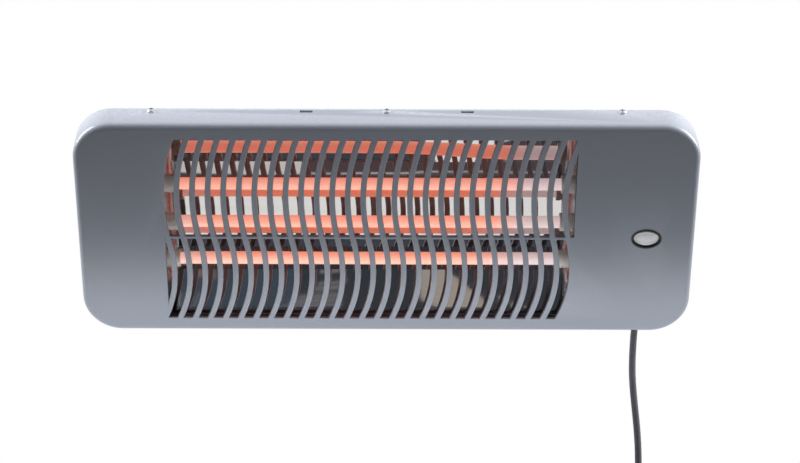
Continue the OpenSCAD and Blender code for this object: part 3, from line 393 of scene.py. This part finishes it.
FINISHES = {
    "painted_steel": finish_material(
        "satin grey paint", (0.176, 0.193, 0.228), (0.204, 0.222, 0.26), (0.38, 0.46), grain_group,
        grain(2600, 9, 0.75), bump=0.10, depth=0.00004,
        sockets={"Metallic": 0.12, "Coat Weight": 0.2, "Coat Roughness": 0.3},
        # the lighter edges of this paint are a painted highlight along the slot rims and rounded
        # edges, not wear
        edge=((0.46, 0.48, 0.53), 0.30, 0.8),
    ),
    "housing_steel": finish_material(
        "grey paint on the back", (0.150, 0.163, 0.192), (0.178, 0.193, 0.226), (0.44, 0.52),
        grain_group, grain(2000, 11, 0.7), bump=0.14, depth=0.00005, sockets={"Metallic": 0.1},
        edge=((0.25, 0.27, 0.31), 0.36, 0.3),
    ),
    "zinc_steel": finish_material(
        "zinc plated steel", (0.52, 0.53, 0.56), (0.72, 0.73, 0.76), (0.20, 0.36), grain_group,
        grain(700, 60, 0.4), bump=0.08, sockets={"Metallic": 1.0},
        edge=((0.9, 0.9, 0.92), 0.14, 0.6),
    ),
    "mirror_sheet": finish_material(
        "bright rolled aluminium", (0.80, 0.795, 0.79), (0.86, 0.855, 0.85), (0.015, 0.04),
        drawn_group, lines(3, 160, 12), bump=0.02, depth=0.0002, sockets={"Metallic": 1.0},
        wave=(9, 0.0003),
    ),
    "steatite": finish_material(
        "unglazed steatite", (0.74, 0.71, 0.66), (0.88, 0.86, 0.82), (0.5, 0.62), grain_group,
        grain(900, 120, 0.5), bump=0.2,
    ),
    "hot_wire": finish_material(
        "glowing heating wire", (0.5, 0.12, 0.06), (0.7, 0.2, 0.1), (0.5, 0.6), grain_group,
        grain(900, 40, 0.4),
        sockets={"Emission Color": (1.0, 0.24, 0.1, 1), "Emission Strength": 1.0},
    ),
    "cap_metal": finish_material(
        "satin button cap", (0.62, 0.63, 0.66), (0.72, 0.73, 0.76), (0.30, 0.38), drawn_group,
        lines(40, 1400, 60), bump=0.05, sockets={"Metallic": 0.3},
        edge=((0.8, 0.81, 0.84), 0.2, 0.5),
    ),
    "pin_metal": finish_material(
        "bright plated metal", (0.62, 0.63, 0.65), (0.76, 0.77, 0.79), (0.16, 0.24), grain_group,
        grain(900, 50, 0.4), sockets={"Metallic": 1.0}, edge=((0.86, 0.86, 0.88), 0.1, 0.5),
    ),
    "black_plastic": finish_material(
        "moulded black plastic", (0.012, 0.012, 0.013), (0.02, 0.02, 0.022), (0.42, 0.55),
        grain_group, grain(1600, 40, 0.7), bump=0.3, depth=0.00008,
        edge=((0.035, 0.035, 0.038), 0.35, 0.5),
    ),
    "gloss_plastic": finish_material(
        "polished black plastic", (0.030, 0.032, 0.036), (0.040, 0.043, 0.048), (0.08, 0.16),
        grain_group, grain(900, 60, 0.4), bump=0.03,
        sockets={"Coat Weight": 0.6, "Coat Roughness": 0.04},
    ),
    "white_plastic": finish_material(
        "moulded white plastic", (0.66, 0.66, 0.63), (0.74, 0.74, 0.71), (0.38, 0.48), grain_group,
        grain(1400, 40, 0.6), bump=0.1,
    ),
    "cord_rubber": finish_material(
        "dark grey rubber", (0.032, 0.033, 0.040), (0.046, 0.047, 0.055), (0.48, 0.6), grain_group,
        grain(1300, 45, 0.6), bump=0.25, depth=0.00008,
    ),
    "brown_core": finish_material(
        "brown insulation", (0.11, 0.045, 0.02), (0.15, 0.065, 0.03), (0.4, 0.5), grain_group,
        grain(900, 60),
    ),
    "blue_core": finish_material(
        "blue insulation", (0.02, 0.07, 0.3), (0.03, 0.1, 0.38), (0.4, 0.5), grain_group,
        grain(900, 60),
    ),
    "black_core": finish_material(
        "black insulation", (0.012, 0.012, 0.012), (0.02, 0.02, 0.02), (0.4, 0.5), grain_group,
        grain(900, 60),
    ),
    "green_core": finish_material(
        "green and yellow insulation", (0.08, 0.25, 0.03), (0.6, 0.55, 0.03), (0.4, 0.5),
        drawn_group, lines(0.5, 260, 30),
    ),
    "brass": finish_material(
        "brass", (0.62, 0.42, 0.14), (0.78, 0.57, 0.24), (0.24, 0.34), grain_group, grain(700, 80),
        sockets={"Metallic": 1.0},
    ),
}
FINISHES["quartz"] = tube_material("milky quartz, middle tube", (-0.25, -0.16), (0.10, 0.14))
TUBE_FINISHES = {
    "upper_quartz_tube": tube_material("milky quartz, upper tube", (-0.28, -0.19), (0.11, 0.145)),
    "middle_quartz_tube": FINISHES["quartz"],
    "lower_quartz_tube": tube_material("milky quartz, lower tube", (-0.26, -0.14), (0.07, 0.14)),
}


# ---------------------------------------------------------------- shape helpers
def new_piece(name, bm, slot, body, stands_for, sharp=35.0):
    """Turns a bmesh into a piece in a slot's finish that rides on a body and stands for CAD nodes.

    Without a body the piece is attached to no body. Edges sharper than sharp, in
    degrees, stay crisp.
    """
    mesh = bpy.data.meshes.new(name)
    bm.to_mesh(mesh)
    bm.free()
    mesh.shade_smooth()
    mesh.set_sharp_from_angle(angle=math.radians(sharp))
    mesh.materials.append(FINISHES[slot])
    piece = bpy.data.objects.new(name, mesh)
    bpy.context.scene.collection.objects.link(piece)
    if body:
        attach(piece, body)
    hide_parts(*stands_for)
    return piece


def sharp_edges(bm, angle=40.0):
    """The edges where two faces meet at more than an angle, in degrees."""
    return [
        edge for edge in bm.edges
        if edge.is_manifold and edge.calc_face_angle(0) > math.radians(angle)
    ]


def on_front(edge):
    """Whether an edge lies in the flat front of the face, away from its rim."""
    return all(abs((vert.co - on_face(0, 0)).dot(OUTWARD)) < SAME for vert in edge.verts)


def soften(node, width, segments=2, front_only=False):
    """A node's own shape with its sharp edges rounded by a width, in place of the node.

    Seams are closed and flat faces joined first, so that only real edges are rounded.
    """
    bm = bmesh.new()
    bm.from_mesh(frame["nodes"][node].data)
    bmesh.ops.remove_doubles(bm, verts=bm.verts, dist=2e-6)
    bmesh.ops.dissolve_limit(
        bm, angle_limit=math.radians(0.5), verts=bm.verts, edges=bm.edges,
        use_dissolve_boundaries=False,
    )
    edges = [edge for edge in sharp_edges(bm) if on_front(edge) or not front_only]
    bmesh.ops.bevel(
        bm, geom=edges, offset=width, offset_type="OFFSET", segments=segments, profile=0.5,
        affect="EDGES", clamp_overlap=False, material=-1,
    )
    piece = new_piece(node + "_finish", bm, slot_of[node], body_of_node[node], [node])
    even = piece.modifiers.new("even normals", "WEIGHTED_NORMAL")
    even.keep_sharp = True


# ---------------------------------------------------------------- reflector
# The sheet's line across the tubes, from its upper lip down, in the face's own y and z in mm.
REFLECTOR_LINE = [
    (107.6, -8), (100.6, -8), (78.2, -53.9), (70, -54.9), (61, -56.0), (52, -57.1), (44.5, -58),
    (-30, -58), (-67.6, -58), (-67.6, -36.6), (-100.6, -18.3), (-101.0, -19.6), (-107.5, -14.4),
]
BACK_DEPTH = -58
WALL_TOP_STEP = 1  # where the upper lip turns down into the upper wall
FOLD = 6  # where the back folds forward; the points between the two make the upper strip
FLARE = slice(9, 11)  # the two ends of the lower flare
GENTLE_SIDE = (0.0, 0.13)  # from the first x to the second the fold becomes a gentle bend
GENTLE_BEND = 0.0011  # that bend's rise in mm, per square mm of distance above the fold
SHEET_COLUMNS = 48
SHEET_THICKNESS = 0.0008


def make_reflector():
    """The bright sheet behind the tubes: flat back, bent upper strip, lower flare and lips."""
    low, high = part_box("reflector")
    steps = len(REFLECTOR_LINE) - 1
    bm = bmesh.new()
    bmesh.ops.create_grid(bm, x_segments=SHEET_COLUMNS, y_segments=steps, size=0.5)
    for vert in bm.verts:
        step = round((0.5 - vert.co.y) * steps)
        x = low[0] + (high[0] - low[0]) * (vert.co.x + 0.5)
        y, z = REFLECTOR_LINE[step]
        if WALL_TOP_STEP < step < FOLD:
            share = min(1, max(0, (x - GENTLE_SIDE[0]) / (GENTLE_SIDE[1] - GENTLE_SIDE[0])))
            gentle = BACK_DEPTH + GENTLE_BEND * (y - REFLECTOR_LINE[FOLD][0]) ** 2
            z += (gentle - z) * share * share * (3 - 2 * share)
        vert.co = on_face(x, y / 1000, z / 1000)
    bmesh.ops.recalc_face_normals(bm, faces=bm.faces)
    if sum(face.normal.dot(OUTWARD) for face in bm.faces) < 0:
        bmesh.ops.reverse_faces(bm, faces=bm.faces)
    sheet = new_piece(
        "reflector_sheet", bm, "mirror_sheet", body_of_node["reflector"], ["reflector"], sharp=20
    )
    fold_y = REFLECTOR_LINE[FOLD][0] / 1000
    heights = [(vert.co - on_face(0, 0)).dot(UPWARD) for vert in sheet.data.vertices]
    for edge in sheet.data.edges:
        if all(abs(heights[end] - fold_y) < SAME for end in edge.vertices):
            edge.use_edge_sharp = True
    thick = sheet.modifiers.new("sheet", "SOLIDIFY")
    thick.thickness = SHEET_THICKNESS
    thick.offset = -1


def make_spring():
    """The button's spring as a piece with a mesh of its own."""
    bm = bmesh.new()
    bm.from_mesh(frame["nodes"]["button_spring"].data)
    spring = new_piece(
        "button_spring_finish", bm, "zinc_steel", body_of_node["button_spring"], ["button_spring"]
    )
    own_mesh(spring)


# ---------------------------------------------------------------- lead
LEAD_DIAMETER = 0.007
LEAD_X = 0.253  # where the lead leaves the strain relief
LEAD_DEPTH = -0.024  # the y at which it hangs before the wall
BOOT_END = on_face(LEAD_X, -0.1255, -0.048)  # the strain relief's end
ROUTE_BOOT_END = Vector((LEAD_X, -0.033, -0.123))  # where the route takes that end to be
STRAIGHT_DROPS = (0, 0.0035, 0.007)  # the lead leaves the strain relief straight
# The free part's route: x from the strain relief, y and z, in mm, and the share of the
# difference between the two ends above that each point follows.
LEAD_ROUTE = [
    (0, -27, -139, 0.8), (-0.6, -25, -148, 0.7), (-1.2, -24, -159, 0.6), (-1.8, -24, -172, 0.5),
    (-1.8, -24, -188, 0.35), (-0.6, -24, -206, 0.2), (1.2, -24, -224, 0.1), (3, -24, -242, 0),
    (4.2, -24, -260, 0), (4.6, -24, -276, 0),
]
LEAD_END_X = LEAD_X + 0.0046
HANK_TURNS = 6
HANK_PITCH = 0.0076
HANK_INNER_RADIUS = 0.040
HANK_HEIGHT = -0.345
POINTS_PER_TURN = 24
RUN_IN = (0.062, 0.055, 0.041, 0.027, 0.013)  # heights over the hank's middle
RUN_OUT = (0.004, 0.008, 0.012, 0.016)  # depths below it


def lead_line():
    """The lead's route from the strain relief, round its hank and down to the plug."""
    shift = BOOT_END - ROUTE_BOOT_END
    points = [BOOT_END - UPWARD * drop for drop in STRAIGHT_DROPS]
    points += [
        Vector((LEAD_X + x / 1000, y / 1000, z / 1000)) + shift * share
        for x, y, z, share in LEAD_ROUTE
    ]
    outer = HANK_INNER_RADIUS + HANK_PITCH * HANK_TURNS / 4
    centre = Vector((LEAD_END_X - outer, LEAD_DEPTH, HANK_HEIGHT))
    points += [centre + Vector((outer, 0, height)) for height in RUN_IN]
    for i in range(HANK_TURNS * POINTS_PER_TURN + 1):
        turn = i / POINTS_PER_TURN
        radius = outer - HANK_PITCH * min(turn, HANK_TURNS - turn)
        layer = min(1.0, max(0.0, 2 * (turn - HANK_TURNS / 2) + 0.5))
        angle = -2 * math.pi * turn
        around = Vector((math.cos(angle), 0, math.sin(angle)))
        points.append(centre + radius * around + Vector((0, -HANK_PITCH * layer, 0)))
    points += [centre + Vector((outer, -HANK_PITCH, -depth)) for depth in RUN_OUT]
    return points


def smooth_line(points, steps):
    """Points with steps - 1 more between each two, on a Catmull-Rom curve through them."""
    ends = [2 * points[0] - points[1]] + points + [2 * points[-1] - points[-2]]
    line = []
    for i in range(1, len(ends) - 2):
        a, b, c, d = ends[i - 1 : i + 3]
        straight = c - a
        square = 2 * a - 5 * b + 4 * c - d
        cube = 3 * b - a - 3 * c + d
        for k in range(steps):
            t = k / steps
            line.append(0.5 * (2 * b + straight * t + square * t ** 2 + cube * t ** 3))
    line.append(points[-1].copy())
    return line


def make_lead():
    """The mains lead as one smooth tube along its route."""
    points = smooth_line(lead_line(), steps=2)
    curve = bpy.data.curves.new("lead_line", "CURVE")
    curve.dimensions = "3D"
    curve.bevel_depth = LEAD_DIAMETER / 2
    curve.bevel_resolution = 4
    curve.use_fill_caps = True
    spline = curve.splines.new("POLY")
    spline.points.add(len(points) - 1)
    for place, point in zip(spline.points, points):
        place.co = (*point, 1)
    holder = bpy.data.objects.new("lead_line", curve)
    bpy.context.scene.collection.objects.link(holder)
    bpy.context.view_layer.update()
    mesh = bpy.data.meshes.new_from_object(holder)
    bpy.data.objects.remove(holder)
    bm = bmesh.new()
    bm.from_mesh(mesh)
    bmesh.ops.remove_doubles(bm, verts=bm.verts, dist=1e-6)
    bmesh.ops.recalc_face_normals(bm, faces=bm.faces)
    lead = new_piece("lead", bm, "cord_rubber", None, ["mains_cord", "cord_coil"])
    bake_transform(lead)


# ---------------------------------------------------------------- the shown pieces
# How far each node's sharp edges are rounded.
SOFT_EDGES = {
    "button_bezel": 0.0002,
    "button_cap": 0.0002,
    "rear_housing": 0.0004,
    "wall_bracket": 0.0003,
    "left_tilt_lug": 0.0003,
    "right_tilt_lug": 0.0003,
    "plug_body": 0.0005,
    "cable_gland": 0.0003,
    "pivot_bolts": 0.0002,
    "pivot_nuts": 0.0002,
}

for node, piece in frame["nodes"].items():
    piece.data.materials.clear()
    piece.data.materials.append(TUBE_FINISHES.get(node) or FINISHES[slot_of[node]])

make_reflector()
soften("front_cover", 0.001, segments=3, front_only=True)
for node, width in SOFT_EDGES.items():
    soften(node, width)
make_spring()
make_lead()


# ---------------------------------------------------------------- background and floor
WHITE = (1, 1, 1, 1)
STAGE_REACH = 3.0  # how far the floor and the cards reach to each side
FLOOR_BACK = 1.7
ROOM_END = -3.0  # the y of the room's far wall, where the floor ends
ROOM_TOP = 4.0
FLOOR_WHITE = 0.78  # the share of plain white in the floor that the camera sees


def background_rays(tree):
    """One for rays that see the plain background: the camera's, and those in metal and glass."""
    rays = add(tree, "LightPath").outputs
    seen = calc(tree, "MAXIMUM", rays["Is Camera Ray"], rays["Is Transmission Ray"])
    return calc(tree, "MAXIMUM", seen, rays["Is Glossy Ray"])


def make_background():
    """A background that looks white and lights the heater only faintly."""
    world = bpy.data.worlds.new("studio")
    world.use_nodes = True
    bpy.context.scene.world = world
    tree = world.node_tree
    felt = tree.nodes["Background"]
    felt.inputs["Color"].default_value = (0.94, 0.97, 1, 1)
    felt.inputs["Strength"].default_value = 0.14
    shown = add(tree, "Background", {"Color": WHITE, "Strength": 1})
    both = add(
        tree, "MixShader", {0: background_rays(tree), 1: felt.outputs[0], 2: shown.outputs[0]}
    )
    tree.links.new(both.outputs[0], tree.nodes["World Output"].inputs["Surface"])


def stage_piece(name, bm, material):
    """Turns a bmesh into a piece of the set."""
    mesh = bpy.data.meshes.new(name)
    bm.to_mesh(mesh)
    bm.free()
    mesh.materials.append(material)
    piece = bpy.data.objects.new(name, mesh)
    bpy.context.scene.collection.objects.link(piece)
    return piece


def lying_sheet(left, right, back_y, front_y, height):
    """A flat sheet that lies at a height, between two x and two y."""
    bm = bmesh.new()
    bmesh.ops.create_grid(bm, x_segments=1, y_segments=1, size=0.5)
    bmesh.ops.scale(bm, verts=bm.verts, vec=(right - left, back_y - front_y, 1))
    middle = ((left + right) / 2, (front_y + back_y) / 2, height)
    bmesh.ops.translate(bm, verts=bm.verts, vec=middle)
    return bm


def standing_sheet(corners, depth):
    """A flat sheet of any straight outline, given by x and z, that stands at a depth."""
    bm = bmesh.new()
    bm.faces.new([bm.verts.new((x, depth, z)) for x, z in corners])
    return bm


def make_floor():
    """A pale floor that looks white where it is lit, keeps the shadow and lifts little light."""
    material, tree, shader = new_material(
        "pale floor", {"Base Color": (0.32, 0.32, 0.325, 1), "Roughness": 0.9}
    )
    lit = add(tree, "BsdfDiffuse", {"Color": (0.8, 0.8, 0.8, 1)})
    white = add(tree, "Emission", {"Color": WHITE, "Strength": 1})
    shown = add(tree, "MixShader", {0: FLOOR_WHITE, 1: lit.outputs[0], 2: white.outputs[0]})
    both = add(
        tree, "MixShader", {0: background_rays(tree), 1: shader.outputs[0], 2: shown.outputs[0]}
    )
    tree.links.new(both.outputs[0], tree.nodes["Material Output"].inputs["Surface"])
    sheet = lying_sheet(-STAGE_REACH, STAGE_REACH, FLOOR_BACK, ROOM_END, FLOOR_Z)
    stage_piece("floor", sheet, material)


# ---------------------------------------------------------------- cards that the mirror shows
CARD_LIFT = 0.002  # above the floor
UPPER_CARD_LIFT = 0.003  # for cards that lie over other cards
SMALL_THINGS_Y = -1.6
ROOM_TONE = (0.037, 0.041, 0.050)
BEIGE = (0.34, 0.305, 0.27)
BROWN = (0.25, 0.17, 0.14)
SLATE_BLUE = (0.052, 0.066, 0.088)
PALE_GREY = (0.20, 0.19, 0.20)
LIGHT_GREY = (0.30, 0.29, 0.29)


def make_card(name, bm, tone):
    """A card of one tone that only metal and glass see."""
    material = bpy.data.materials.new(name)
    material.use_nodes = True
    tree = material.node_tree
    glow = add(tree, "Emission", {"Color": (*tone, 1), "Strength": 1})
    tree.links.new(glow.outputs[0], tree.nodes["Material Output"].inputs["Surface"])
    card = stage_piece(name, bm, material)
    card.visible_camera = False
    card.visible_diffuse = False
    card.visible_shadow = False


def floor_card(
    name, back_y, front_y, tone, left=-STAGE_REACH, right=STAGE_REACH, lift=CARD_LIFT
):
    """A card that lies on the floor."""
    make_card(name, lying_sheet(left, right, back_y, front_y, FLOOR_Z + lift), tone)


def seen_card(name, outline, tone):
    """A card in the room, given by where the lower flare shows it in the picture."""
    eye = bpy.context.scene.camera.location
    face_middle = on_face(0, 0)
    start, end = (on_face(0, y / 1000, z / 1000) for y, z in REFLECTOR_LINE[FLARE])
    normal = (end - start).cross(Vector((1, 0, 0))).normalized()
    corners = []
    for column, row in outline:
        right = (column - PICTURE_MIDDLE[0]) / PIXELS_PER_METRE
        up = (PICTURE_MIDDLE[1] - row) / PIXELS_PER_METRE
        aim = face_middle + Vector((right, 0, up)) - eye
        hit = eye + aim * ((start - eye).dot(normal) / aim.dot(normal))
        back = aim - 2 * aim.dot(normal) * normal
        place = hit + back * ((SMALL_THINGS_Y - hit.y) / back.y)
        corners.append((place.x, place.z))
    make_card(name, standing_sheet(corners, SMALL_THINGS_Y), tone)


def make_cards():
    """The room as the reflector shows it: strips of floor, a wall, and small things."""
    floor_card("far_card", -0.335, -0.9, (0.075, 0.054, 0.060))
    floor_card("room_card", -0.9, ROOM_END, ROOM_TONE)
    floor_card("pale_card", -0.275, -0.335, (0.80, 0.79, 0.775))
    floor_card("near_card", -0.17, -0.275, (0.050, 0.056, 0.070))
    floor_card("left_card", -0.3594, -0.386, (0.58, 0.55, 0.54), -0.6, -0.10, UPPER_CARD_LIFT)
    floor_card("thin_card", -0.3594, -0.3614, (0.46, 0.44, 0.44), -0.10, 0.21, UPPER_CARD_LIFT)
    wall_corners = [
        (-STAGE_REACH, FLOOR_Z), (STAGE_REACH, FLOOR_Z),
        (STAGE_REACH, ROOM_TOP), (-STAGE_REACH, ROOM_TOP),
    ]
    make_card("front_wall", standing_sheet(wall_corners, ROOM_END), ROOM_TONE)
    seen_card(
        "beige_board",
        [(421, 262), (434, 262), (454, 277), (478, 292), (494, 309.5), (440, 309.5), (421, 297)],
        BEIGE,
    )
    seen_card("beige_piece_1", [(498, 293), (506, 293), (508, 299), (500, 299)], BEIGE)
    seen_card("beige_piece_2", [(512, 299), (518, 299), (517, 307), (510, 307)], BEIGE)
    seen_card("beige_piece_3", [(524, 305), (531, 305), (529, 310), (523, 310)], BEIGE)
    seen_card("small_piece_1", [(197, 271), (204, 271), (204, 279), (197, 279)], BROWN)
    seen_card("small_piece_2", [(212, 271), (217, 271), (217, 281), (212, 281)], BROWN)
    seen_card("blue_board", [(160, 255), (300, 255), (296, 312), (160, 312)], SLATE_BLUE)
    slats = [
        (320, 345, 267), (318, 350, 279), (312, 345, 285), (298, 345, 293), (290, 345, 298),
        (282, 345, 303),
    ]
    for i, (left, right, row) in enumerate(slats):
        outline = [(left, row + 1.5), (right, row - 1.5), (right, row + 1.5), (left, row + 4.5)]
        seen_card(f"slat_{i}", outline, PALE_GREY)
    for i, (foot, top) in enumerate([(179, 185), (184, 180), (186, 190), (196, 201)]):
        outline = [(foot, 308), (foot + 1.3, 308), (top + 1.3, 292), (top, 292)]
        seen_card(f"streak_{i}", outline, LIGHT_GREY)


# ---------------------------------------------------------------- lamps
def softbox(name, place, target, width, height, power, mirrored=False):
    """A soft rectangular lamp; metal and glass show it only where it is mirrored."""
    data = bpy.data.lights.new(name, "AREA")
    data.shape = "RECTANGLE"
    data.size, data.size_y = width, height
    data.energy = power
    lamp = bpy.data.objects.new(name, data)
    bpy.context.scene.collection.objects.link(lamp)
    lamp.location = place
    lamp.rotation_mode = "QUATERNION"
    lamp.rotation_quaternion = (Vector(target) - Vector(place)).to_track_quat("-Z", "Y")
    lamp.visible_camera = False
    lamp.visible_glossy = mirrored


def make_lamps():
    """Light from above, from both sides, from the room and along the face from below."""
    softbox("overhead", (0.0, -0.5, 1.4), (0, -0.15, 0), 2.0, 1.0, 42)
    softbox("left_side", (-1.2, -0.06, 0.5), (-0.2, -0.13, 0), 0.5, 0.9, 22, mirrored=True)
    softbox("right_side", (1.2, -0.06, 0.5), (0.2, -0.13, 0), 0.5, 0.9, 24, mirrored=True)
    softbox("front", (0.6, -2.2, 0.1), (0.05, -0.15, 0), 1.2, 0.8, 4.3)
    below = on_face(0.05, -0.1175, 0.09)
    softbox("low_strip", below, below - OUTWARD, 1.1, 0.03, 0.8)


make_background()
make_floor()
make_cards()
make_lamps()
